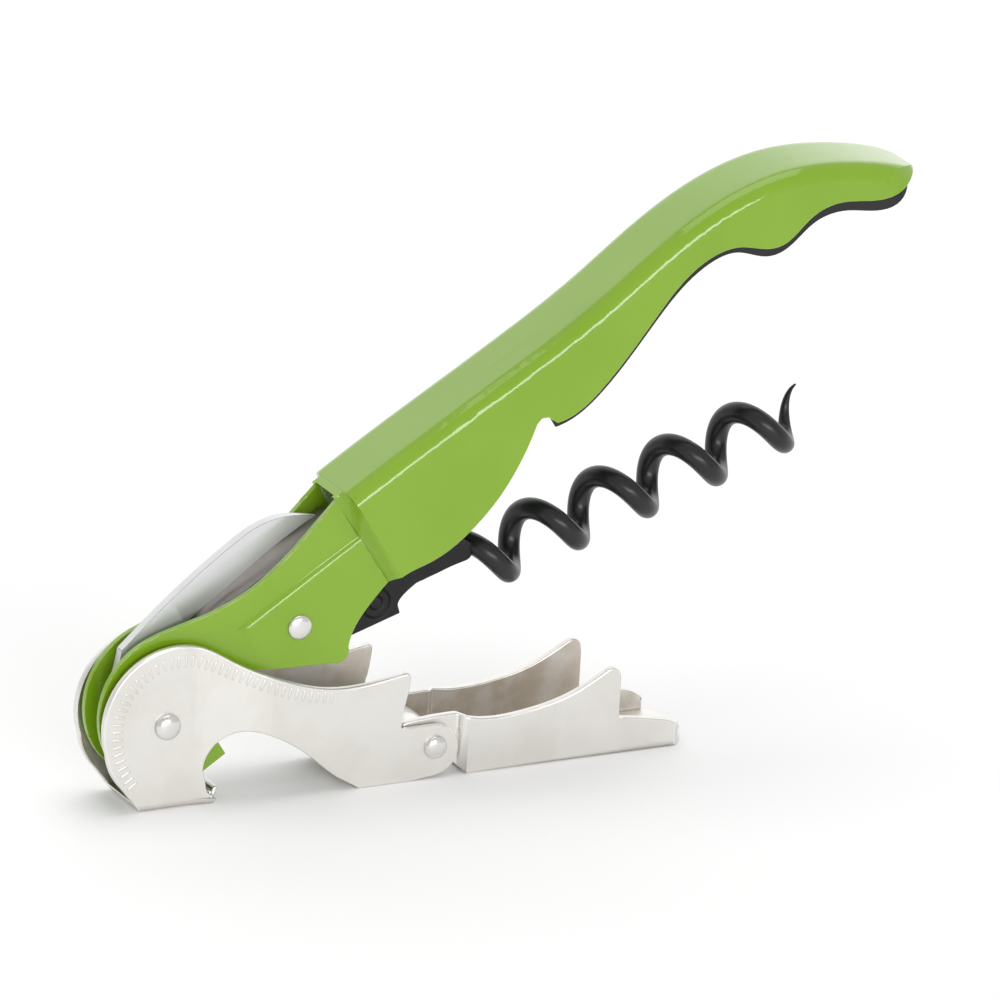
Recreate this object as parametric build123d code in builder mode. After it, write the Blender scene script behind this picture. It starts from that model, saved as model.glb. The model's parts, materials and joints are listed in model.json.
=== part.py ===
# Lever corkscrew with a folded-sheet handle, a two-stage lever, a worm and a foil knife.
# Millimetres. The tool stands on the flat bottom of its lever, on Z = 0, with the lever along +X.
# Everything is symmetric about the XZ plane. The origin lies under the pin that joins lever and handle.
import os
from math import cos, hypot, pi, radians, sin

from build123d import *

os.makedirs("parts", exist_ok=True)

# Driving dimensions
handle_angle = 33.0  # handle above the lever, as it stands
worm_angle = 18.15  # worm above the lever, as it stands
pivot_height = 10.4  # lever pivot above the lever's flat bottom
worm_pin_along, worm_pin_up = 19.5, -0.6  # worm pin from the lever pivot, along and square to the handle
hinge_along, hinge_height = 34.25, 4.0  # hinge between the two levers

handle_sheet = 0.75
head_half = 2.4  # outer half widths of the handle
neck_half = 3.9
grip_half = 5.5
neck_taper_start, neck_taper_end = 5.5, 13.0  # where the head widens into the neck
boss_end, boss_step = 14.4, 0.42  # pad pressed out round the worm pin
joggle_start, joggle_end = 31.15, 32.6  # where the neck steps out into the grip
spine_radius = 2.1
liner_wall = 0.3

lever_sheet = 1.0
lever_head_half = 4.3  # outer half widths of the first lever
lever_half = 5.65
fork_half = 4.5  # outer half widths of the second lever
end_lever_half = 5.7
first_web_end, end_web_start = 31.0, 38.6  # where the two levers' flat bottoms stop and start
nose_along = 68.6

shank_radius = 1.2
pin_clearance = 0.05
side_gap = 0.1

worm_axis_drop = 3.82  # worm axis below the worm pin
worm_pitch = 9.43
worm_coil_radius = 2.95
wire_radius = 1.3
worm_start, worm_end = 23.37, 69.9  # along the worm axis from the worm pin
worm_start_turn = -15.0  # degrees of the wire's first end, from the top of the coil towards the near side
taper_along = 5.8  # length of the worm's point
tip_radius = 0.12
carrier_half = 2.3
knife_half = 0.65
ample = 30.0  # more than any piece's half size, for cuts right through

# Planes. Lever: x along, y up. Handle: x along, y square to it. Local z points to the near side, -Y.
lever_side = Plane(origin=(0, 0, 0), x_dir=(1, 0, 0), z_dir=(0, -1, 0))
lever_plan = Plane.XY
handle_x = Vector(cos(radians(handle_angle)), 0, sin(radians(handle_angle)))
handle_y = Vector(-handle_x.Z, 0, handle_x.X)
pivot = Vector(0, 0, pivot_height)
handle_side = Plane(origin=pivot, x_dir=handle_x, z_dir=(0, -1, 0))
handle_plan = Plane(origin=pivot, x_dir=handle_x, z_dir=handle_y)
worm_pin_place = pivot + handle_x * worm_pin_along + handle_y * worm_pin_up
worm_x = Vector(cos(radians(worm_angle)), 0, sin(radians(worm_angle)))
worm_y = Vector(-worm_x.Z, 0, worm_x.X)
worm_side = Plane(origin=worm_pin_place, x_dir=worm_x, z_dir=(0, -1, 0))
worm_axis = worm_pin_place - worm_y * worm_axis_drop
hinge_side = Plane(origin=(hinge_along, 0, hinge_height), x_dir=(1, 0, 0), z_dir=(0, -1, 0))
worm_pin_side = Plane(origin=worm_pin_place, x_dir=handle_x, z_dir=(0, -1, 0))


def mirrored_strip(edge):
    """Closed outline of a strip from the points (along, half width) of its upper edge."""
    return edge + [(along, -half) for along, half in reversed(edge)]


def inset_points(points, distance):
    """Points moved by distance to the right of the way they run, square to their neighbours."""
    moved = []
    for i, (x, y) in enumerate(points):
        before, after = points[max(i - 1, 0)], points[min(i + 1, len(points) - 1)]
        dx, dy = after[0] - before[0], after[1] - before[1]
        length = hypot(dx, dy)
        moved.append((x + dy * distance / length, y - dx * distance / length))
    return moved


def washer_pair(plane, outer_radius, bore_radius, inner_face, thickness):
    """Two equal washers, one each side of the middle plane."""
    with BuildPart() as washers:
        with BuildSketch(plane.offset(inner_face)):
            Circle(outer_radius)
            Circle(bore_radius, mode=Mode.SUBTRACT)
        extrude(amount=thickness)
        mirror(about=Plane.XZ)
    return washers


def domed_pin(plane, shank, head_radius, half_length, head_height):
    """Rivet with a shank right through and a domed head at each end."""
    with BuildPart() as pin:
        with BuildSketch(plane):
            Circle(shank)
        extrude(amount=half_length, both=True)
        with BuildSketch(plane.offset(half_length)):
            Circle(head_radius)
        extrude(amount=head_height)
        fillet(pin.edges().filter_by(GeomType.CIRCLE).sort_by(Axis.Y)[0], radius=0.85 * head_height)
        mirror(about=Plane.XZ)
    return pin


# Handle: the spine's line and the lower edges of the sheet and of its liner
spine_points = [
    (31.2, 9.75), (45.0, 9.65), (60.0, 9.25), (70.0, 9.35), (79.0, 10.05), (86.0, 10.15),
    (92.5, 9.3), (98.4, 7.3), (104.4, 3.5), (108.6, -0.2), (111.3, -3.2),
]
lower_front = [
    (31.2, -3.2), (33.0, -3.0), (36.5, -3.75), (42.5, -3.75), (47.5, -2.5), (52.0, -0.4), (55.9, 2.2),
]
lower_grip = [
    (58.0, 0.6), (60.4, 0.05), (65.0, 0.6), (74.4, 3.6), (82.6, 5.55), (87.6, 4.2), (90.2, 1.8),
    (92.0, 0.85), (97.0, 1.35), (101.0, 0.4), (105.2, -2.6), (109.2, -3.75), (111.6, -3.6),
]
liner_lower = [
    (57.7, -0.1), (60.4, -0.65), (65.0, -0.15), (74.4, 2.8), (82.6, 4.6), (87.2, 3.4), (90.0, 0.5),
    (91.8, -0.25), (97.0, 0.15), (101.0, -1.2), (105.0, -4.3), (108.0, -5.0), (110.0, -4.2),
]
# along, half width, half width of the flat crest, half width where the crest's slope starts
joggle_sections = ((joggle_start, neck_half, 2.95, 3.25), (joggle_end, grip_half, 3.4, grip_half))
far_below = -16.0
tail_along = 112.2


def grip_blank(inset):
    """Solid inside of the grip's sheet, inset from its outer face and open-ended far below."""
    spine = inset_points(spine_points, inset)
    half = grip_half - inset
    with BuildPart() as blank:
        with BuildSketch(handle_side):
            with BuildLine():
                top = Spline(*spine)
                Polyline(top @ 1, (top.position_at(1).X, far_below), (spine[0][0], far_below), top @ 0)
            make_face()
        extrude(amount=half, both=True)
        fillet(blank.edges().sort_by(SortBy.LENGTH)[-2:], radius=spine_radius - inset)
        with BuildSketch(handle_plan):
            with BuildLine():
                Polyline((105.0, half), (20.0, half), (20.0, -half), (105.0, -half))
                ThreePointArc((105.0, -half), (110.1 - inset, -0.7 * half), (tail_along - inset, 0))
                ThreePointArc((tail_along - inset, 0), (110.1 - inset, 0.7 * half), (105.0, half))
            make_face()
        extrude(amount=ample, both=True, mode=Mode.INTERSECT)
    return blank.part


def joggle_blank(inset):
    """Solid between the neck's and the grip's cross sections, where the cheeks step outward."""
    with BuildPart() as blank:
        for along, half, crest, shoulder in joggle_sections:
            plane = Plane(origin=pivot + handle_x * (along + 0.35 * inset), x_dir=(0, 1, 0), z_dir=handle_x)
            with BuildSketch(plane):
                with BuildLine():
                    right = [
                        (half - inset, far_below), (half - inset, 3.8),
                        (min(shoulder, half) - inset, 7.6), (crest - inset, 9.75 - 0.3 * inset),
                    ]
                    Polyline(*right, *[(-x, y) for x, y in reversed(right)], close=True)
                make_face()
        loft(ruled=True)
    return blank.part


def neck_blank(inset):
    """Solid of the head and neck within their cheeks, inset from the outer faces."""
    with BuildPart() as blank:
        with BuildSketch(handle_plan):
            with BuildLine():
                edge = [
                    (-ample, head_half - inset), (neck_taper_start, head_half - inset),
                    (neck_taper_end, neck_half - boss_step - inset), (boss_end, neck_half - inset),
                    (joggle_start + 0.35, neck_half - inset),
                ]
                Polyline(*mirrored_strip(edge), close=True)
            make_face()
        extrude(amount=ample, both=True)
        with BuildSketch(Plane(origin=pivot - handle_x * ample, x_dir=(0, 1, 0), z_dir=handle_x)):
            with BuildLine():
                shelf = neck_half - boss_step - inset
                right = [
                    (neck_half - inset, far_below), (neck_half - inset, 3.6), (shelf, 4.1), (shelf - 0.6, 12.5),
                ]
                Polyline(*right, *[(-x, y) for x, y in reversed(right)], close=True)
            make_face()
        extrude(amount=3 * ample, mode=Mode.INTERSECT)
    return blank.part


with BuildPart() as neck_prism:
    with BuildSketch(handle_side):
        with BuildLine():
            ThreePointArc((4.6, 9.45), (-4.9, 6.7), (-7.5, -1.0))
            ThreePointArc((-7.5, -1.0), (-5.0, -6.2), (0.5, -9.0))
            Polyline((0.5, -9.0), (4.4, -9.0), (4.4, -4.6))
            Spline((4.4, -4.6), (7.0, -0.6), (12.5, -1.9), tangents=((0, 1), (0.83, -0.56)))
            Line((12.5, -1.9), (20.6, -7.35))
            ThreePointArc((20.6, -7.35), (22.6, -7.75), (23.2, -6.9))
            Spline((23.2, -6.9), (24.3, -5.85), (27.8, -4.2), (31.3, -3.2))
            Line((31.3, -3.2), (31.3, 9.3))
            Spline((31.3, 9.3), (26.0, 8.1), (21.6, 7.25), (17.5, 6.95), (13.9, 7.3), (10.4, 8.05), (4.6, 9.45))
        make_face()
    extrude(amount=grip_half, both=True)

with BuildPart() as grip_prism:
    with BuildSketch(handle_side):
        with BuildLine():
            Spline(*lower_front)
            Polyline((55.9, 2.2), (56.7, 2.4), (57.4, 2.0), (58.0, 0.6))
            Spline(*lower_grip)
            Polyline((111.6, -3.6), (114.0, -3.6), (114.0, 14.0), (31.2, 14.0), (31.2, -3.2))
        make_face()
    extrude(amount=2 * grip_half, both=True)

with BuildPart() as liner_prism:
    with BuildSketch(handle_side):
        with BuildLine():
            Spline(*liner_lower)
            Polyline((110.0, -4.2), (113.5, -4.2), (113.5, 14.0), (57.7, 14.0), (57.7, -0.1))
        make_face()
    extrude(amount=2 * grip_half, both=True)

neck_outside, neck_inside = neck_blank(0.0), neck_blank(handle_sheet)
joggle_outside, joggle_inside = joggle_blank(0.0), joggle_blank(handle_sheet)
grip_outside, grip_inside = grip_blank(0.0), grip_blank(handle_sheet)
liner_inside = grip_blank(handle_sheet + liner_wall)

with BuildPart() as grip_sheet:
    add(grip_outside)
    add(grip_inside, mode=Mode.SUBTRACT)
    with BuildSketch(handle_plan):
        Rectangle(2 * joggle_end, 4 * grip_half)
    extrude(amount=ample, both=True, mode=Mode.SUBTRACT)
    add(grip_prism.part, mode=Mode.INTERSECT)

with BuildPart() as joggle_sheet:
    add(joggle_outside)
    add(joggle_inside, mode=Mode.SUBTRACT)
    add(neck_inside, mode=Mode.SUBTRACT)
    add(grip_prism.part, mode=Mode.INTERSECT)

with BuildPart() as handle_shell:
    add(neck_outside)
    add(neck_inside, mode=Mode.SUBTRACT)
    add(neck_prism.part, mode=Mode.INTERSECT)
    add(grip_sheet.part)
    add(joggle_sheet.part)
    for plane in (handle_side, worm_pin_side):
        with BuildSketch(plane):
            Circle(shank_radius)
        extrude(amount=2 * grip_half, both=True, mode=Mode.SUBTRACT)
handle_shell.part.label = "handle_shell"

with BuildPart() as grip_liner:
    add(grip_inside)
    add(liner_inside, mode=Mode.SUBTRACT)
    add(liner_prism.part, mode=Mode.INTERSECT)
grip_liner.part.label = "grip_liner"

with BuildPart() as back_spring:
    with BuildSketch(handle_side):
        with BuildLine():
            Polyline((30.5, 6.9), (14.5, 6.9))
            Spline((14.5, 6.9), (9.9, 6.1), (7.0, 4.0), (5.3, 1.2), tangents=((-1, 0), (-0.3, -0.95)))
            Polyline((5.3, 1.2), (5.3, -0.4), (6.6, -0.4))
            Spline((6.6, -0.4), (8.3, 2.9), (11.0, 4.9), (14.5, 5.5), tangents=((0.3, 0.95), (1, 0)))
            Polyline((14.5, 5.5), (30.5, 5.5), (30.5, 6.9))
        make_face()
    extrude(amount=grip_half, both=True)
    with BuildSketch(handle_plan):
        with BuildLine():
            spring_edge = [(0.0, 1.1), (11.0, 1.1), (16.0, 2.3), (31.0, 2.3)]
            Polyline(*mirrored_strip(spring_edge), close=True)
        make_face()
    extrude(amount=ample, both=True, mode=Mode.INTERSECT)
back_spring.part.label = "back_spring"

# Knife: a tang round the pivot and a blade lying above the neck
blade_start, blade_edge_half = 9.0, 0.12
with BuildPart() as foil_knife:
    with BuildSketch(handle_side):
        with BuildLine():
            ThreePointArc((-4.4, 1.35), (-1.2, -4.44), (4.5, 0.96))
            Spline((4.5, 0.96), (6.2, 4.6), (9.4, 6.9), (13.2, 7.35), tangents=((0.1, 1), (1, 0.02)))
            Spline((13.2, 7.35), (20.0, 7.85), (28.9, 7.75), tangents=((1, 0.02), (1, -0.12)))
            Spline((28.9, 7.75), (27.6, 8.95), (25.7, 10.4), (23.2, 11.45), (20.2, 11.8))
            Spline((20.2, 11.8), (14.7, 11.6), (8.9, 11.0), (0.9, 9.7))
            Spline((0.9, 9.7), (-2.4, 6.2), (-4.4, 1.35), tangents=((-0.62, -0.78), (-0.25, -1)))
        make_face()
        Circle(shank_radius + pin_clearance, mode=Mode.SUBTRACT)
    extrude(amount=knife_half, both=True)
    # flats that thin the blade towards its edge
    with BuildSketch(Plane(origin=pivot + handle_x * blade_start, x_dir=(0, 1, 0), z_dir=handle_x)):
        with BuildLine():
            bevel = [
                (knife_half, 10.7), (knife_half + 1, 10.7), (knife_half + 1, 6.8), (blade_edge_half, 6.8),
            ]
            Polyline(*bevel, close=True)
        make_face()
        mirror(about=Plane.YZ)
    extrude(amount=ample, mode=Mode.SUBTRACT)
foil_knife.part.label = "foil_knife"

# First lever: a disc round the pivot, cheeks that run on to the hinge, and flat webs below
tooth_half = 3.7
with BuildPart() as first_lever:
    with BuildSketch(lever_side):
        with BuildLine():
            Polyline((6.5, 1.0), (6.5, 0.0), (-3.0, 0.0), (-5.5, 3.2))
            ThreePointArc((-5.5, 3.2), (-6.9, 5.2), (-7.6, 7.6))
            ThreePointArc((-7.6, 7.6), (-5.1, 17.6), (4.2, 19.6))
            Spline(
                (4.2, 19.6), (8.0, 17.55), (14.3, 14.65), (20.2, 12.95), (25.7, 12.95), (30.0, 13.6),
                tangents=((0.94, -0.34), (1, 0.13)),
            )
            ThreePointArc((30.0, 13.6), (30.6, 13.45), (30.7, 12.9))
            Spline((30.7, 12.9), (30.2, 9.6), (29.7, 7.2), tangents=((-0.05, -1), (-0.2, -1)))
            ThreePointArc((29.7, 7.2), (29.8, 6.7), (30.3, 6.55))
            Line((30.3, 6.55), (35.0, 6.6))
            ThreePointArc((35.0, 6.6), (37.35, 3.8), (35.2, 0.55))
            Polyline((35.2, 0.55), (34.4, 0.35), (31.2, 0.0), (24.5, 0.0))
            Spline(
                (24.5, 0.0), (21.9, 1.6), (17.8, 4.95), (12.7, 8.05), (9.1, 8.8), (5.9, 7.2), (4.8, 4.4),
                (5.2, 2.4), tangents=((-0.8, 0.6), (0.1, -1)),
            )
            ThreePointArc((5.2, 2.4), (5.55, 1.5), (6.5, 1.0))
        make_face()
        with Locations((0, pivot_height), (hinge_along, hinge_height)):
            Circle(shank_radius + pin_clearance, mode=Mode.SUBTRACT)
    extrude(amount=2 * lever_half, both=True)
    with BuildSketch(lever_plan):
        with BuildLine():
            outer_edge = [
                (-12.0, lever_head_half), (3.5, lever_head_half), (13.0, lever_half), (40.0, lever_half),
            ]
            Polyline(*mirrored_strip(outer_edge), close=True)
        make_face()
    extrude(amount=ample, both=True, mode=Mode.INTERSECT)
    inner_edge = [(x + 0.12, half - lever_sheet) for x, half in outer_edge]
    with BuildSketch(lever_plan.offset(lever_sheet)):
        with BuildLine():
            Polyline(*mirrored_strip(inner_edge), close=True)
        make_face()
    extrude(amount=ample, mode=Mode.SUBTRACT)
    with BuildSketch(lever_plan):
        with Locations((first_web_end, 0)):
            Rectangle(12, 2 * (lever_half - lever_sheet), align=(Align.MIN, Align.CENTER))
    extrude(amount=lever_sheet, mode=Mode.SUBTRACT)
    # turned-up tooth of the cap lifter
    with BuildSketch(lever_side):
        with BuildLine():
            Polyline((4.0, 0.1), (6.2, 0.1), (6.9, 0.6), (7.1, 1.9), (6.3, 1.8), (5.9, 1.1), (4.0, 1.0), close=True)
        make_face()
    extrude(amount=tooth_half, both=True)
first_lever.part.label = "first_lever"

# Second lever: a fork over the hinge, then a channel with a rounded nose
with BuildPart() as second_lever:
    with BuildSketch(lever_side):
        with BuildLine():
            Polyline((38.9, 0.0), (38.1, 0.5), (36.7, 1.7))
            ThreePointArc((36.7, 1.7), (34.1, 0.95), (31.2, 4.2))
            Polyline((31.2, 4.2), (30.4, 6.9), (31.0, 7.05), (34.5, 7.35), (37.4, 7.4))
            Spline(
                (37.4, 7.4), (40.0, 6.85), (45.5, 6.9), (51.2, 8.1), (56.6, 10.75),
                tangents=((1, -0.2), (0.87, 0.5)),
            )
            ThreePointArc((56.6, 10.75), (57.9, 10.75), (58.4, 9.9))
            Polyline((58.4, 9.9), (58.35, 4.9))
            ThreePointArc((58.35, 4.9), (58.5, 4.55), (59.0, 4.5))
            Spline((59.0, 4.5), (63.4, 3.8), (66.0, 3.0), tangents=((1, -0.05), (0.8, -0.6)))
            ThreePointArc((66.0, 3.0), (66.9, 2.0), (67.0, lever_sheet))
            Polyline((67.0, lever_sheet), (72.0, lever_sheet), (72.0, 0.0), (38.9, 0.0))
        make_face()
        with Locations((hinge_along, hinge_height)):
            Circle(shank_radius + pin_clearance, mode=Mode.SUBTRACT)
    extrude(amount=2 * lever_half, both=True)
    with BuildSketch(lever_plan):
        with BuildLine():
            half = end_lever_half
            Polyline((66.0, half), (38.5, half), (37.6, fork_half), (25.0, fork_half))
            Line((25.0, fork_half), (25.0, -fork_half))
            Polyline((25.0, -fork_half), (37.6, -fork_half), (38.5, -half), (66.0, -half))
            ThreePointArc((66.0, -half), (nose_along, 0), (66.0, half))
        make_face()
    extrude(amount=ample, both=True, mode=Mode.INTERSECT)
    with BuildSketch(lever_plan.offset(lever_sheet)):
        with BuildLine():
            inner = [
                (25.0, fork_half - lever_sheet), (37.9, fork_half - lever_sheet),
                (38.8, end_lever_half - lever_sheet), (80.0, end_lever_half - lever_sheet),
            ]
            Polyline(*mirrored_strip(inner), close=True)
        make_face()
    extrude(amount=ample, mode=Mode.SUBTRACT)
    with BuildSketch(lever_plan):
        Rectangle(end_web_start, 2 * (fork_half - lever_sheet), align=(Align.MIN, Align.CENTER))
    extrude(amount=lever_sheet, mode=Mode.SUBTRACT)
second_lever.part.label = "second_lever"

# Pins, washers and the hinge's sleeve
lever_pivot_pin = domed_pin(handle_side, shank_radius, 1.6, lever_head_half + pin_clearance, 0.85)
lever_pivot_pin.part.label = "lever_pivot_pin"
worm_pin = domed_pin(worm_pin_side, shank_radius, 1.5, neck_half, 0.6)
worm_pin.part.label = "worm_pin"
lever_hinge_pin = domed_pin(hinge_side, shank_radius, 1.45, lever_half, 0.75)
lever_hinge_pin.part.label = "lever_hinge_pin"

free_bore = shank_radius + pin_clearance
head_gap = lever_head_half - lever_sheet - head_half
lever_washers = washer_pair(handle_side, 2.9, free_bore, head_half + 0.05, head_gap - 0.1)
lever_washers.part.label = "lever_washers"
tang_gap = head_half - handle_sheet - knife_half
knife_washers = washer_pair(handle_side, 2.6, shank_radius, knife_half + side_gap, tang_gap - side_gap)
knife_washers.part.label = "knife_washers"
carrier_gap = neck_half - handle_sheet - carrier_half
carrier_washers = washer_pair(
    worm_pin_side, 2.9, shank_radius, carrier_half + side_gap, carrier_gap - side_gap,
)
carrier_washers.part.label = "carrier_washers"

with BuildPart() as hinge_spacer:
    with BuildSketch(hinge_side):
        Circle(1.9)
        Circle(free_bore, mode=Mode.SUBTRACT)
    extrude(amount=fork_half - lever_sheet - side_gap, both=True)
hinge_spacer.part.label = "hinge_spacer"

# Worm: a right-handed helix whose wire narrows to a point over its last part
def coil_plane(along):
    """Plane across the worm axis whose x direction points at the wire's middle."""
    turn = radians(worm_start_turn) + 2 * pi * (along - worm_start) / worm_pitch
    toward_wire = worm_y * cos(turn) - Vector(0, 1, 0) * sin(turn)
    return Plane(origin=worm_axis + worm_x * along, x_dir=toward_wire, z_dir=worm_x)


body_along = worm_end - taper_along
coil_path = coil_plane(worm_start).location * Helix(worm_pitch, body_along - worm_start, worm_coil_radius)
point_path = coil_plane(body_along).location * Helix(worm_pitch, taper_along, worm_coil_radius)
with BuildPart() as worm:
    with Locations(coil_path @ 0):
        Sphere(wire_radius)
    with BuildSketch(Plane(origin=coil_path @ 0, z_dir=coil_path % 0)):
        Circle(wire_radius)
    sweep(path=coil_path, is_frenet=True)
    for i in range(13):
        share = i / 12
        with BuildSketch(Plane(origin=point_path @ share, z_dir=point_path % share)):
            Circle(wire_radius + (tip_radius - wire_radius) * share**1.3)
    loft()
worm.part.label = "worm"

# Carrier: a flat arm on the worm pin, with a foot below it and the worm's wire set into its end
with BuildPart() as worm_carrier:
    with BuildSketch(worm_side):
        with BuildLine():
            ThreePointArc((0.0, 4.0), (-4.0, 0.0), (-1.0, -3.87))
            Polyline((-1.0, -3.87), (1.0, -4.85), (13.0, -4.85), (13.0, -4.1))
            Spline((13.0, -4.1), (13.6, -3.1), (15.5, -2.3), (18.5, -2.15), tangents=((-0.1, 1), (1, 0)))
            Spline((18.5, -2.15), (20.6, -2.1), (22.7, -2.2), tangents=((1, 0), (1, -0.03)))
            ThreePointArc((22.7, -2.2), (23.9, -0.95), (22.8, 0.3))
            Spline((22.8, 0.3), (19.0, 1.0), (8.0, 2.6), (0.0, 4.0), tangents=((-0.98, 0.15), (-1, 0)))
        make_face()
        Circle(free_bore, mode=Mode.SUBTRACT)
    extrude(amount=carrier_half, both=True)
    for ring_radius in (0.9, 1.9):
        for face in (carrier_half, -carrier_half):
            with BuildSketch(worm_side.offset(face)):
                with Locations((10.45, -2.3)):
                    Circle(ring_radius)
                    Circle(ring_radius - 0.2, mode=Mode.SUBTRACT)
            extrude(amount=0.12, both=True, mode=Mode.SUBTRACT)
    add(worm.part, mode=Mode.SUBTRACT)
worm_carrier.part.label = "worm_carrier"

pieces = (
    handle_shell, grip_liner, back_spring, foil_knife, first_lever, second_lever, lever_pivot_pin, worm_pin,
    lever_hinge_pin, lever_washers, knife_washers, carrier_washers, hinge_spacer, worm, worm_carrier,
)
for piece in pieces:
    export_step(piece.part, f"parts/{piece.part.label}.step")
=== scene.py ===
import json
from math import cos, pi, radians, sin

import bmesh
import bpy
import numpy as np
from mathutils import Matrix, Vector


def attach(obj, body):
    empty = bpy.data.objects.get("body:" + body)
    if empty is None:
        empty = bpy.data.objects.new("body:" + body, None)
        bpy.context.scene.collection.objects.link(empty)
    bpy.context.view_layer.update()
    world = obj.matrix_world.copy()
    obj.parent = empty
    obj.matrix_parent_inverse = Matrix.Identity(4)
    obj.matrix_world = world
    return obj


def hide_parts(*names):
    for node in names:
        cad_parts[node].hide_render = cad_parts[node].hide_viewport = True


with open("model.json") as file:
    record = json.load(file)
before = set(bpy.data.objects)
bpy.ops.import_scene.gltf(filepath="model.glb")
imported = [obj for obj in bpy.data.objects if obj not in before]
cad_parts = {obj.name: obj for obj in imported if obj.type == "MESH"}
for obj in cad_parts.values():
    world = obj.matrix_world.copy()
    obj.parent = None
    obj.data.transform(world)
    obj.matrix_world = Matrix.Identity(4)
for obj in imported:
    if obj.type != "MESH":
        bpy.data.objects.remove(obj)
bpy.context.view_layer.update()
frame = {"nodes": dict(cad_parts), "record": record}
print("frame loaded:", len(frame["nodes"]), "nodes")

mm = 0.001
record = frame["record"]
joints = {joint["name"]: np.array(joint["pos_m"]) for joint in record["behaviour"]["joints"]}
leverPivot = joints["lever_swing"]
wormPin = joints["worm_fold"]
endHinge = joints["end_lever_fold"]
handleSlope = 33  # degrees that the handle rises
alongHandle = (0, -handleSlope, 0)


class Wire:
    # wraps an output socket of a node tree, so that maths on it reads as plain expressions

    def __init__(self, tree, socket):
        self.tree, self.socket = tree, socket

    def node(self, kind, settings=None, inputs=None, output=0):
        # any node: its settings come first, then the values or links of its sockets
        made = self.tree.nodes.new(kind)
        for name, value in (settings or {}).items():
            setattr(made, name, value)
        for name, value in (inputs or {}).items():
            feed(self.tree, made.inputs[name], value)
        return Wire(self.tree, made.outputs[output])

    def maths(self, operation, *values):
        return self.node("ShaderNodeMath", {"operation": operation}, dict(enumerate(values)))

    def __add__(self, other):
        return self.maths("ADD", self, other)

    def __radd__(self, other):
        return self.maths("ADD", other, self)

    def __sub__(self, other):
        return self.maths("SUBTRACT", self, other)

    def __rsub__(self, other):
        return self.maths("SUBTRACT", other, self)

    def __mul__(self, other):
        return self.maths("MULTIPLY", self, other)

    def __rmul__(self, other):
        return self.maths("MULTIPLY", other, self)

    def within(self, low, high):
        # 0 below low, 1 above high, and a smooth rise between them
        return self.node(
            "ShaderNodeMapRange", {"interpolation_type": "SMOOTHSTEP"},
            {"Value": self, "From Min": low, "From Max": high, "To Min": 0.0, "To Max": 1.0},
        )

    def noise(self, scale, detail=3.0, roughness=0.55):
        return self.node(
            "ShaderNodeTexNoise", {},
            {"Vector": self, "Scale": scale, "Detail": detail, "Roughness": roughness},
        )

    def cells(self, scale):
        return self.node("ShaderNodeTexVoronoi", {"feature": "F1"}, {"Vector": self, "Scale": scale})

    def stretched(self, turn, scale):
        # the same place seen through a turn (degrees) and a scale along each axis
        return self.node(
            "ShaderNodeMapping", {"vector_type": "TEXTURE"},
            {"Vector": self, "Rotation": [radians(angle) for angle in turn], "Scale": scale},
        )

    def mixed(self, first, second):
        # this wire is the share of the second colour
        return self.node(
            "ShaderNodeMix", {"data_type": "RGBA"}, {0: self, 6: first, 7: second}, output=2,
        )

    def bumped(self, height, under=None):
        # surface normal from this height, 0 to 1, whose full step is height metres
        inputs = {"Height": self, "Distance": height, "Strength": 1.0}
        if under is not None:
            inputs["Normal"] = under
        return self.node("ShaderNodeBump", {}, inputs)


def feed(tree, socket, value):
    # links a wire to a socket, or sets the socket's own value
    if isinstance(value, Wire):
        tree.links.new(value.socket, socket)
    elif isinstance(value, tuple) and len(value) == 3 and socket.type == "RGBA":
        socket.default_value = (*value, 1.0)
    else:
        socket.default_value = value


def newFinish(name):
    # a bare material with its principled shader; returns it, its place wire and its shader's sockets
    finish = bpy.data.materials.new(name)
    finish.use_nodes = True
    tree = finish.node_tree
    tree.nodes.clear()
    out = tree.nodes.new("ShaderNodeOutputMaterial")
    shader = tree.nodes.new("ShaderNodeBsdfPrincipled")
    tree.links.new(shader.outputs["BSDF"], out.inputs["Surface"])
    place = Wire(tree, tree.nodes.new("ShaderNodeTexCoord").outputs["Object"])

    def setShader(values):
        for socketName, value in values.items():
            feed(tree, shader.inputs[socketName], value)

    return finish, place, setShader


def attribute(place, name):
    # a number that each face carries: one on the rounded edges, which the finishes use for wear, painted
    # highlights and a painted dark reflection, and one on a lever's inside faces, which carries painted shade
    return place.node("ShaderNodeAttribute", {"attribute_type": "GEOMETRY", "attribute_name": name}, output=2)


greenLook = {
    "base": (0.206, 0.370, 0.012),
    "deeper": (0.190, 0.349, 0.007),
    # worn is the pale green for the specks and for the rounded edges, where it is partly thinned paint and
    # partly a painted highlight
    "worn": (0.30, 0.45, 0.12),
    "roughness": 0.30,
}


def makeGreenLacquer():
    # sprayed and baked enamel: slow colour drift, faint orange peel, paler on its rounded edges, partly where
    # the paint thins and partly a painted highlight
    finish, place, setShader = newFinish("greenLacquer")
    drift = place.noise(55.0, 2.0)
    speck = place.noise(5200.0, 1.0).within(0.70, 0.78)
    edge = attribute(place, "roundedEdge")
    # pale patches on the rounded edges: partly thinned paint, partly a painted highlight
    thinPaintAndHighlight = (edge * place.noise(900.0, 3.0)).within(0.42, 0.62)
    colour = drift.within(0.35, 0.7).mixed(greenLook["base"], greenLook["deeper"])
    colour = (thinPaintAndHighlight * 0.75).mixed(colour, greenLook["worn"])
    colour = (speck * 0.12).mixed(colour, greenLook["worn"])
    peel = place.noise(520.0, 2.0, 0.4)
    scuff = place.stretched(alongHandle, (0.02, 0.0016, 0.0009)).noise(1.0, 4.0).within(0.60, 0.80)
    setShader({
        "Base Color": colour,
        "Roughness": greenLook["roughness"] + 0.06 * drift + 0.10 * scuff,
        "Specular IOR Level": 0.15,
        "Coat Weight": 1.0 - 0.25 * scuff,
        "Coat Roughness": 0.045,
        "Coat IOR": 1.5,
        "Normal": peel.bumped(0.0000035, speck.bumped(0.000004)),
    })
    return finish


linerLook = {"black": (0.005, 0.005, 0.006), "flow": (0.011, 0.011, 0.012), "roughness": 0.16}


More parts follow.
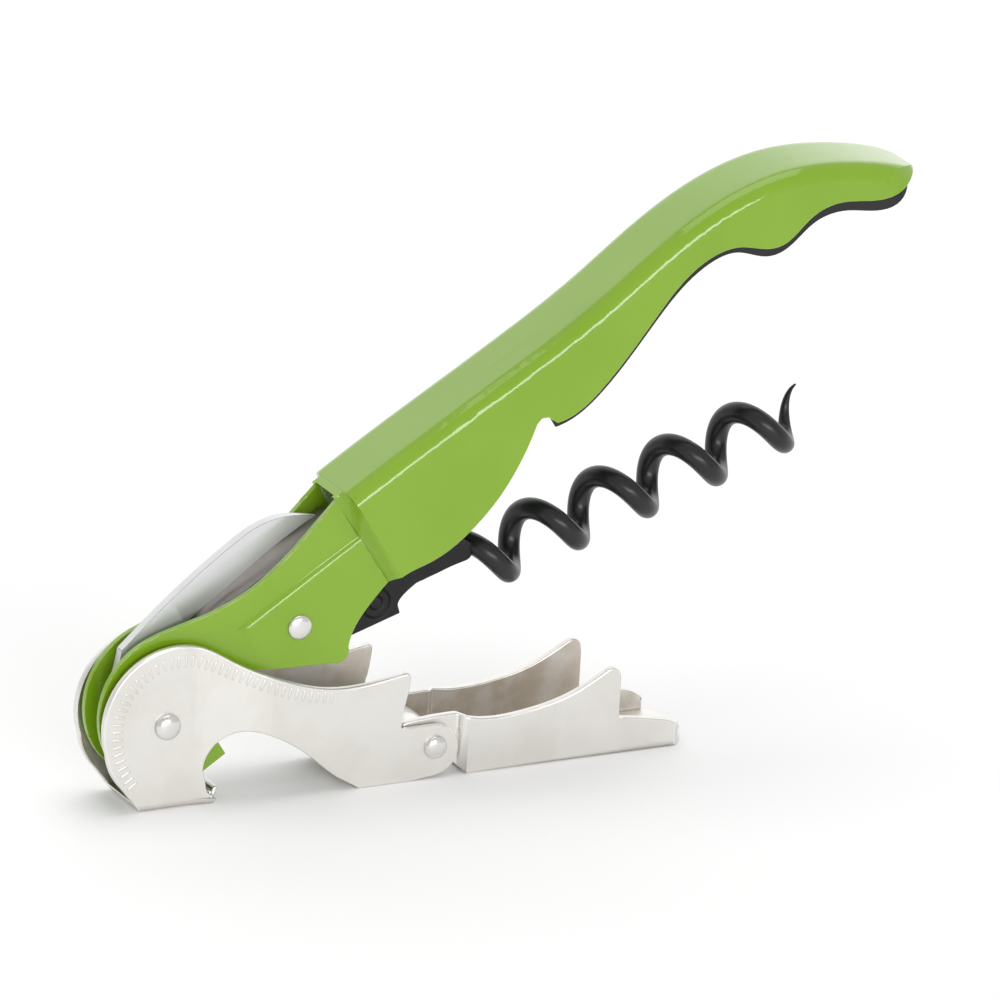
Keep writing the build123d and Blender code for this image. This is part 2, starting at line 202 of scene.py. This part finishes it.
def makeBlackLiner():
    # moulded gloss plastic: fine flow marks and small scuffs
    finish, place, setShader = newFinish("blackLiner")
    flow = place.stretched(alongHandle, (0.009, 0.002, 0.0022)).noise(1.0, 3.0)
    scuff = place.noise(2600.0, 4.0).within(0.58, 0.75)
    setShader({
        "Base Color": flow.mixed(linerLook["black"], linerLook["flow"]),
        "Roughness": linerLook["roughness"] + 0.14 * scuff + 0.05 * flow,
        "Specular IOR Level": 0.30,
        "Coat Weight": 0.3 - 0.2 * scuff,
        "Coat Roughness": 0.12,
        "Normal": flow.bumped(0.00002, scuff.bumped(0.000004)),
    })
    return finish


nickelLook = {
    # edge is partly rubbed metal and partly a painted highlight; the brown is painted shade and reflection
    # for the faces that look inward
    "bright": (0.775, 0.755, 0.722), "dull": (0.725, 0.703, 0.668), "edge": (0.88, 0.87, 0.845),
    "insideShade": (0.56, 0.49, 0.40), "roughness": 0.30,
}


def makeLeverNickel():
    # tumbled sheet under nickel plate: fine all-over grain, soft cloudy dulling, bright edges that are partly
    # rubbed metal and partly a painted highlight, and painted brown shade and reflection on the inside faces
    finish, place, setShader = newFinish("leverNickel")
    cloud = place.noise(140.0, 4.0)
    grain = place.noise(2300.0, 3.0, 0.6)
    pits = place.cells(1300.0).within(0.0, 0.35)
    nicks = place.stretched((0, 24, 0), (0.004, 0.0006, 0.0005)).noise(1.0, 3.0).within(0.66, 0.74)
    edge = attribute(place, "roundedEdge")
    colour = cloud.within(0.38, 0.66).mixed(nickelLook["bright"], nickelLook["dull"])
    # brighter rounded edges: partly rubbed metal, partly a painted highlight
    colour = (0.7 * edge).mixed(colour, nickelLook["edge"])
    colour = (0.25 * nicks).mixed(colour, nickelLook["dull"])
    # painted shade and brown reflection, in blotches, on the faces that look inward between the cheeks
    shadeBlotch = place.noise(230.0, 4.0, 0.6).within(0.36, 0.62)
    colour = (attribute(place, "inner") * (0.08 + 0.62 * shadeBlotch)).mixed(colour, nickelLook["insideShade"])
    setShader({
        "Base Color": colour,
        "Metallic": 1.0,
        "Roughness": nickelLook["roughness"] + 0.10 * cloud + 0.08 * grain - 0.10 * edge,
        "Normal": grain.bumped(0.0000105, cloud.bumped(0.000014, pits.bumped(0.0000050))),
    })
    return finish


pinLook = {"dull": (0.70, 0.685, 0.66), "bright": (0.82, 0.81, 0.79), "roughness": 0.16}


def makePinNickel():
    # rivets struck cold: polished dome with fine rings of burnish and a few dints
    finish, place, setShader = newFinish("pinNickel")
    cloud = place.noise(900.0, 3.0)
    dint = place.noise(1900.0, 2.0).within(0.60, 0.80)
    setShader({
        "Base Color": cloud.mixed(pinLook["dull"], pinLook["bright"]),
        "Metallic": 1.0,
        "Roughness": pinLook["roughness"] + 0.12 * cloud + 0.08 * dint,
        "Normal": cloud.bumped(0.00003, dint.bumped(0.000010)),
    })
    return finish


springLook = {"grey": (0.30, 0.28, 0.26), "temper": (0.18, 0.165, 0.15), "roughness": 0.34}


def makeSpringSteel():
    # dark hardened strip: rolling lines along the handle, brownish temper
    finish, place, setShader = newFinish("springSteel")
    lines = place.stretched(alongHandle, (0.03, 0.00012, 0.00012)).noise(1.0, 3.0)
    cloud = place.noise(300.0, 3.0)
    setShader({
        "Base Color": cloud.mixed(springLook["grey"], springLook["temper"]),
        "Metallic": 1.0,
        "Roughness": springLook["roughness"] + 0.16 * lines,
        "Normal": lines.bumped(0.000008),
    })
    return finish


bladeLook = {
    # edge is the painted dark reflection along the blade's rounded edges
    "bright": (0.70, 0.70, 0.705), "hazed": (0.64, 0.64, 0.65), "edge": (0.16, 0.16, 0.17), "roughness": 0.30,
}


def makeBladeSteel():
    # polished blade: very fine grinding lines across it, faint haze, and a painted dark reflection along its
    # edges
    finish, place, setShader = newFinish("bladeSteel")
    lines = place.stretched(alongHandle, (0.00009, 0.01, 0.008)).noise(1.0, 2.0)
    haze = place.noise(260.0, 3.0)
    edge = attribute(place, "roundedEdge")
    colour = haze.mixed(bladeLook["bright"], bladeLook["hazed"])
    # the base colour carries a painted dark reflection on the rounded edges
    setShader({
        "Base Color": (0.75 * edge).mixed(colour, bladeLook["edge"]),
        "Metallic": 0.55,
        "Roughness": bladeLook["roughness"] + 0.10 * haze + 0.08 * lines - 0.12 * edge,
        "Normal": lines.bumped(0.0000016),
    })
    return finish


castingLook = {"black": (0.009, 0.009, 0.010), "rubbed": (0.026, 0.026, 0.028), "roughness": 0.40}


def makeBlackCasting():
    # cast arm under satin black: pebbled skin, greyer where handled
    finish, place, setShader = newFinish("blackCasting")
    skin = place.cells(1700.0)
    lumps = place.noise(420.0, 3.0)
    edge = attribute(place, "roundedEdge")
    rub = (lumps.within(0.45, 0.75) * 0.4 + edge * 0.5).within(0.0, 1.0)
    setShader({
        "Base Color": rub.mixed(castingLook["black"], castingLook["rubbed"]),
        "Roughness": castingLook["roughness"] + 0.16 * lumps - 0.06 * edge,
        "Specular IOR Level": 0.28,
        "Normal": skin.bumped(0.000012, lumps.bumped(0.00006)),
    })
    return finish


coatingLook = {"black": (0.006, 0.006, 0.007), "flow": (0.013, 0.013, 0.014), "roughness": 0.24}


def makeBlackCoating():
    # non-stick coating on the wire: even satin black with a soft flow along the turns
    finish, place, setShader = newFinish("blackCoating")
    flow = place.noise(650.0, 3.0)
    fine = place.noise(3800.0, 2.0)
    setShader({
        "Base Color": flow.mixed(coatingLook["black"], coatingLook["flow"]),
        "Roughness": coatingLook["roughness"] + 0.10 * flow + 0.08 * fine,
        "Specular IOR Level": 0.38,
        "Coat Weight": 0.08,
        "Coat Roughness": 0.12,
        "Normal": fine.bumped(0.000004, flow.bumped(0.00003)),
    })
    return finish


finishes = {
    "green_lacquer": makeGreenLacquer(),
    "black_liner": makeBlackLiner(),
    "spring_steel": makeSpringSteel(),
    "pin_nickel": makePinNickel(),
    "lever_nickel": makeLeverNickel(),
    "black_casting": makeBlackCasting(),
    "black_coating": makeBlackCoating(),
    "blade_steel": makeBladeSteel(),
}
print("finishes made:", len(finishes))

slotOf = {row["node"]: row["material_slot"] for row in record["subparts"]}
bodyOf = {node: body for body, nodes in record["behaviour"]["bodies"].items() for node in nodes}
for name, node in frame["nodes"].items():
    node.data.materials.clear()
    node.data.materials.append(finishes[slotOf[name]])


def addPiece(name, mesh, stoodFor, body=None, slotName=None):
    # puts a finished mesh in the scene, on its body and with its finish; it stands for a CAD node unless it
    # is given a body and a slot of its own
    piece = bpy.data.objects.new(name, mesh)
    bpy.context.scene.collection.objects.link(piece)
    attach(piece, body or bodyOf[stoodFor])
    if stoodFor:
        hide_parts(stoodFor)
    slotName = slotName or slotOf[stoodFor]
    mesh.materials.append(finishes[slotName])
    return piece


# how each pressed, cast or ground piece is softened, in millimetres and degrees: edges sharper than angle are
# rounded to width; the rest stay crisp above crease. bend is the outer radius of the folds along a lever's
# flat bottom, or of the pressed step that lies within fold; edges within leave stay as they are. fold and
# leave hold the low and high corner, along the handle and square to it, from the lever's pivot. weight is how
# much a large face rules the shading beside it
softEdges = {
    "handle_shell": {
        "piece": "handleShell", "width": 0.11, "angle": 62, "crease": 16, "weight": 50, "bend": 0.32,
        "leave": ((30.9, 5.0), (32.8, 20.0)), "fold": ((12.0, 3.3), (32.0, 3.9)),
    },
    "grip_liner": {"piece": "gripLiner", "width": 0.08, "angle": 50},
    "first_lever": {"piece": "firstLever", "width": 0.22, "angle": 38, "bend": 0.95},
    "second_lever": {"piece": "endLever", "width": 0.22, "angle": 38, "bend": 0.95},
    "foil_knife": {"piece": "foilKnife", "width": 0.05, "angle": 38},
    "worm_carrier": {"piece": "wormCarrier", "width": 0.16, "angle": 60},
    "back_spring": {"piece": "backSpring", "width": 0.08, "angle": 38},
}
softCommon = {
    "crease": 22, "weight": 95,  # where a piece has none of its own
    "merge": 0.0008, "flat": 0.25,  # doubles nearer than this become one, faces flatter than this are joined
    "crowd": 0.35,  # share of the width under which an edge is too short to round beside
    "floor": 0.02, "floorAngle": 60,  # height and angle of the edges along a lever's bottom
    "foldAngle": 25,  # least angle of a pressed step's edges
    "cheek": 0.85, "inside": 0.6,  # how squarely a face looks sideways to be a cheek, or an inside face
    "bendSteps": 5, "edgeSteps": 3,
}
handleAngle = radians(handleSlope)


def handlePlace(point):
    # a point's millimetres along the handle and square to it, from the lever's pivot
    reach = (point - Vector(leverPivot)) / mm
    along = reach.x * cos(handleAngle) + reach.z * sin(handleAngle)
    return along, reach.z * cos(handleAngle) - reach.x * sin(handleAngle)


def within(edge, corners):
    # whether each end of an edge lies in the box between two corners
    (lowAlong, lowUp), (highAlong, highUp) = corners
    places = [handlePlace(vertex.co) for vertex in edge.verts]
    return [lowAlong < along < highAlong and lowUp < up < highUp for along, up in places]


def roundEdges(shape, edges, width, segments):
    # bevels these edges, but leaves out any that end near a very short edge, where a bevel would cross itself
    least = softCommon["crowd"] * width
    crowded = {vertex for edge in shape.edges if edge.calc_length() < least for vertex in edge.verts}
    clear = [edge for edge in edges if not (edge.verts[0] in crowded or edge.verts[1] in crowded)]
    return bmesh.ops.bevel(
        shape, geom=clear, offset=width, offset_type="OFFSET", segments=segments, profile=0.5,
        affect="EDGES", clamp_overlap=False, loop_slide=False,
    )["faces"]


def sharperThan(shape, degrees):
    return [edge for edge in shape.edges if edge.calc_face_angle(0.0) > radians(degrees)]


def foldedEdges(shape, look):
    # the edges of the piece's own bends
    if "fold" in look:
        creased = sharperThan(shape, softCommon["foldAngle"])
        return [edge for edge in creased if all(within(edge, look["fold"]))]
    return [
        edge for edge in sharperThan(shape, softCommon["floorAngle"])
        if max(vertex.co.z for vertex in edge.verts) < softCommon["floor"] * mm
        and any(abs(face.normal.y) > softCommon["cheek"] for face in edge.link_faces)
    ]


def softenedCopy(node, look):
    # a copy of a CAD node's mesh with its doubles merged, its flat faces joined and its sharp edges rounded
    shape = bmesh.new()
    shape.from_mesh(frame["nodes"][node].data)
    bmesh.ops.remove_doubles(shape, verts=shape.verts, dist=softCommon["merge"] * mm)
    bmesh.ops.dissolve_limit(
        shape, angle_limit=radians(softCommon["flat"]), verts=shape.verts, edges=shape.edges,
    )
    if "bend" in look:
        roundEdges(shape, foldedEdges(shape, look), look["bend"] * mm, softCommon["bendSteps"])
    sharp = sharperThan(shape, look["angle"])
    if "leave" in look:
        sharp = [edge for edge in sharp if not any(within(edge, look["leave"]))]
    roundedLayer = shape.faces.layers.float.new("roundedEdge")
    inner = shape.faces.layers.float.new("inner")
    for face in roundEdges(shape, sharp, look["width"] * mm, softCommon["edgeSteps"]):
        if face.is_valid:
            face[roundedLayer] = 1.0
    for face in shape.faces:
        face.smooth = True
        sideways = face.normal.y
        looksIn = sideways * face.calc_center_median().y < 0
        face[inner] = float(looksIn and abs(sideways) > softCommon["inside"])
    crease = radians(look.get("crease", softCommon["crease"]))
    for edge in shape.edges:
        worn = any(face[roundedLayer] > 0.5 for face in edge.link_faces)
        edge.smooth = worn or edge.calc_face_angle(0.0) < crease
    mesh = bpy.data.meshes.new(look["piece"])
    shape.to_mesh(mesh)
    shape.free()
    piece = addPiece(look["piece"], mesh, node)
    weighted = piece.modifiers.new("weighted normals", "WEIGHTED_NORMAL")
    weighted.mode, weighted.keep_sharp = "FACE_AREA", True
    weighted.weight = look.get("weight", softCommon["weight"])
    print("softened", node, len(mesh.polygons), "faces")


for node, look in softEdges.items():
    softenedCopy(node, look)

wormLook = {
    "coilRadius": 2.95, "pitch": 9.43, "wire": 1.3, "drop": 3.82, "angle": 18.15,  # millimetres, degrees
    "shank": 19.0, "top": 23.763, "end": 69.9, "point": 5.8, "tip": 0.12,  # along the axis from the worm pin
    "easeBefore": 2.4, "easeLength": 2.9, "pointPower": 1.3, "stations": 640, "around": 40,
}


def gridMesh(name, points):
    # mesh from a grid of points (along, around, 3), closed around, with a face over its first and last rows
    rows, columns = points.shape[:2]
    index = np.arange(rows * columns).reshape(rows, columns)
    a, b = index[:-1], index[1:]
    quads = np.stack([a, b, np.roll(b, -1, 1), np.roll(a, -1, 1)], -1).reshape(-1, 4)
    faces = quads.tolist() + [index[0].tolist(), index[-1][::-1].tolist()]
    mesh = bpy.data.meshes.new(name)
    mesh.from_pydata(points.reshape(-1, 3).tolist(), [], faces)
    mesh.validate()
    mesh.shade_smooth()
    return mesh


def makeWorm():
    # tube round a helix: at each station a circle stands square to the helix, and its radius falls to the
    # tip's over the last stretch as the share to a power; inside the arm the helix eases out of a straight
    # shank by the smooth step 3e^2 - 2e^3
    look = wormLook
    slope = radians(look["angle"])
    alongAxis = np.array((np.cos(slope), 0, np.sin(slope)))
    upAxis = np.array((-np.sin(slope), 0, np.cos(slope)))
    farAxis = np.array((0.0, 1.0, 0.0))
    station = np.linspace(look["shank"], look["end"], look["stations"])[:, None]
    turn = 2 * pi * (station - look["top"]) / look["pitch"]
    toward = upAxis * np.cos(turn) - farAxis * np.sin(turn)
    ease = np.clip((station - look["top"] + look["easeBefore"]) / look["easeLength"], 0, 1)
    ease = ease * ease * (3 - 2 * ease)
    toward = toward * ease + upAxis * (1 - ease)
    middle = wormPin / mm - upAxis * look["drop"] + alongAxis * station + toward * look["coilRadius"]
    forward = np.gradient(middle, axis=0)
    forward /= np.linalg.norm(forward, axis=1, keepdims=True)
    side = np.cross(forward, toward)
    side /= np.linalg.norm(side, axis=1, keepdims=True)
    toward = np.cross(side, forward)
    share = np.clip((station - (look["end"] - look["point"])) / look["point"], 0, 1)
    wire = look["wire"] + (look["tip"] - look["wire"]) * share ** look["pointPower"]
    around = np.linspace(0, 2 * pi, look["around"], endpoint=False)[None, :, None]
    ring = toward[:, None, :] * np.cos(around) + side[:, None, :] * np.sin(around)
    points = (middle[:, None, :] + wire[:, None, :] * ring) * mm
    addPiece("wormWire", gridMesh("wormWire", points), "worm")


makeWorm()

rivetLook = {
    "lever_pivot_pin": {"piece": "leverRivet", "centre": leverPivot, "head": 1.6, "rise": 0.85, "seat": 4.35},
    "worm_pin": {"piece": "wormRivet", "centre": wormPin, "head": 1.5, "rise": 0.6, "seat": 3.9},
    "lever_hinge_pin": {"piece": "hingeRivet", "centre": endHinge, "head": 1.45, "rise": 0.75, "seat": 5.65},
}


rivetCommon = {
    "rim": 0.14, "shank": 1.2, "middle": 0.002, "power": 2.6, "steps": 22, "around": 64,
    "edge": 0.05, "edgeSteps": 2, "edgeAngle": 50,
}


def makeRivet(node, look):
    # lathe about a line across the tool: the profile runs from the far dome's middle to the near one's; a
    # dome is a low superellipse, rise * (1 - share^power)^(1/2), on a short straight rim
    common = rivetCommon
    share = np.sin(np.linspace(0, pi / 2, common["steps"]))
    crown = np.sqrt(np.clip(1 - share ** common["power"], 0, 1))
    dome = common["rim"] + (look["rise"] - common["rim"]) * crown
    radius = np.concatenate([share * look["head"], [look["head"], common["shank"]]])
    reach = np.concatenate([look["seat"] + dome, [look["seat"], look["seat"]]])
    radius = np.maximum(np.concatenate([radius, radius[::-1]]), common["middle"])
    reach = np.concatenate([reach, -reach[::-1]])
    around = np.linspace(0, 2 * pi, common["around"], endpoint=False)[None, :]
    x = radius[:, None] * np.cos(around)
    z = radius[:, None] * np.sin(around)
    points = np.stack([x, np.broadcast_to(reach[:, None], x.shape), z], -1) * mm + look["centre"]
    piece = addPiece(look["piece"], gridMesh(look["piece"], points), node)
    rim = piece.modifiers.new("rim", "BEVEL")
    rim.width, rim.segments = common["edge"] * mm, common["edgeSteps"]
    rim.limit_method, rim.angle_limit = "ANGLE", radians(common["edgeAngle"])
    piece.modifiers.new("weighted normals", "WEIGHTED_NORMAL").keep_sharp = True


for node, look in rivetLook.items():
    makeRivet(node, look)
print("worm and rivets made")

tickLook = {
    "height": 1.45, "width": 0.36, "proud": 0.08, "spacing": 0.95,  # millimetres
    "path": [
        (-3.6, 2.6), (-5.2, 4.9), (-6.3, 8.0), (-6.4, 11.6), (-5.2, 14.9), (-2.8, 17.2),
        (0.3, 18.3), (3.6, 18.1), (7.8, 16.2), (12.6, 14.0), (17.5, 12.4), (21.5, 11.7),
    ],
    "fine": 800, "blur": 91, "ends": 20, "reach": 6,  # the path's samples; how many smooth, trim and aim it
    "flareFrom": (3.5, 4.3), "flareTo": (13.0, 5.65),  # x and half width where the cheek flares
    "latitudes": 9, "longitudes": 16, "merge": 0.0005,
}


def power(wave, exponent):
    return np.sign(wave) * np.abs(wave) ** exponent


def tickPath(look):
    # the row's path, sampled finely and smoothed by a Hann window
    path = np.array(look["path"])
    knots = np.concatenate([[0], np.cumsum(np.linalg.norm(np.diff(path, axis=0), axis=1))])
    fine = np.linspace(0, knots[-1], look["fine"])
    kernel = np.hanning(look["blur"])
    kernel /= kernel.sum()
    half = look["blur"] // 2
    raw = np.stack([np.interp(fine, knots, path[:, i]) for i in range(2)], -1)
    padded = np.pad(raw, ((half, half), (0, 0)), mode="edge")
    return np.stack([np.convolve(padded[:, i], kernel, "valid") for i in range(2)], -1), knots[-1]


def makeTicks():
    # a row of small raised bars along the near cheek's edge: each is a superellipsoid, half sunk in the
    # sheet, turned square to the row's path; the cheek's own flare gives its depth at each bar
    look = tickLook
    smooth, length = tickPath(look)
    count = int(length / look["spacing"])
    at = np.linspace(look["ends"], look["fine"] - look["ends"] - 1, count).astype(int)
    centre = smooth[at]
    forward = smooth[at + look["reach"]] - smooth[at - look["reach"]]
    forward /= np.linalg.norm(forward, axis=1, keepdims=True)
    square = np.stack([-forward[:, 1], forward[:, 0]], -1)
    (flareStart, narrow), (flareEnd, wide) = look["flareFrom"], look["flareTo"]
    depth = np.interp(centre[:, 0], [flareStart, flareEnd], [narrow, wide])
    flaring = (centre[:, 0] > flareStart) & (centre[:, 0] < flareEnd)
    lean = np.where(flaring, (wide - narrow) / (flareEnd - flareStart), 0.0)
    lat = np.linspace(-pi / 2, pi / 2, look["latitudes"])[None, :, None]
    lon = np.linspace(0, 2 * pi, look["longitudes"], endpoint=False)[None, None, :]
    across = power(np.cos(lat), 0.5) * power(np.cos(lon), 0.6) * look["width"] / 2
    along = power(np.cos(lat), 0.5) * power(np.sin(lon), 0.6) * look["height"] / 2
    rise = power(np.sin(lat), 0.7) * look["proud"] + 0 * lon
    x, z = (
        centre[:, i, None, None] + forward[:, i, None, None] * across + square[:, i, None, None] * along
        for i in range(2)
    )
    y = -(depth[:, None, None] + lean[:, None, None] * (x - centre[:, 0, None, None])) - rise
    joined = bmesh.new()
    for bar in np.stack([x, y, z], -1) * mm:
        single = gridMesh("bar", bar)
        joined.from_mesh(single)
        bpy.data.meshes.remove(single)
    bmesh.ops.remove_doubles(joined, verts=joined.verts, dist=look["merge"] * mm)
    bmesh.ops.recalc_face_normals(joined, faces=joined.faces)
    mesh = bpy.data.meshes.new("stampedTicks")
    joined.to_mesh(mesh)
    joined.free()
    mesh.shade_smooth()
    addPiece("stampedTicks", mesh, None, body="first_lever", slotName="lever_nickel")
    print("stamped ticks:", count)


makeTicks()

studio = {
    "floor": 6.0, "floorShade": (0.96, 0.96, 0.96), "sky": 0.72,  # floor's side in metres, sky's strength
    "lamps": {  # place, aim, width and height in metres, watts
        "topBox": ((0.05, 0.10, 0.85), (0.04, 0.0, 0.03), (0.60, 0.60), 1.7),
        "frontStrip": ((-0.02, -1.15, 0.30), (0.04, 0.0, 0.04), (0.85, 0.24), 5.2),
        "backPanel": ((0.35, 1.0, 0.50), (0.05, 0.0, 0.04), (2.4, 0.95), 4.6),
    },
}


def makeStudio():
    half = studio["floor"] / 2
    floorMesh = bpy.data.meshes.new("floor")
    corners = [(-half, -half, 0), (half, -half, 0), (half, half, 0), (-half, half, 0)]
    floorMesh.from_pydata(corners, [], [(0, 1, 2, 3)])
    floor = bpy.data.objects.new("floor", floorMesh)
    bpy.context.scene.collection.objects.link(floor)
    finish, _, setShader = newFinish("paleFloor")
    setShader({"Base Color": studio["floorShade"], "Roughness": 0.7})
    floorMesh.materials.append(finish)
    world = bpy.data.worlds.new("studio")
    world.use_nodes = True
    background = world.node_tree.nodes["Background"]
    background.inputs["Color"].default_value = (1.0, 1.0, 1.0, 1.0)
    background.inputs["Strength"].default_value = studio["sky"]
    bpy.context.scene.world = world
    for name, (place, aim, (width, height), watts) in studio["lamps"].items():
        lamp = bpy.data.lights.new(name, "AREA")
        lamp.shape, lamp.size, lamp.size_y, lamp.energy = "RECTANGLE", width, height, watts
        holder = bpy.data.objects.new(name, lamp)
        holder.location = place
        holder.rotation_euler = (Vector(aim) - Vector(place)).to_track_quat("-Z", "Y").to_euler()
        bpy.context.scene.collection.objects.link(holder)


cameraStand = {"place": (-0.61368, -1.25781, 0.54238), "turn": (70.185, -2.76, -26.613), "lens": 464.4}


def makeCamera():
    camera = bpy.data.cameras.new("camera")
    camera.lens, camera.sensor_width = cameraStand["lens"], 36.0
    camera.clip_start, camera.clip_end = 0.05, 20.0
    stand = bpy.data.objects.new("camera", camera)
    stand.location = cameraStand["place"]
    stand.rotation_euler = [radians(angle) for angle in cameraStand["turn"]]
    bpy.context.scene.collection.objects.link(stand)
    bpy.context.scene.camera = stand


makeStudio()
makeCamera()
bpy.context.scene.view_settings.view_transform = "Standard"
print("studio and camera set")
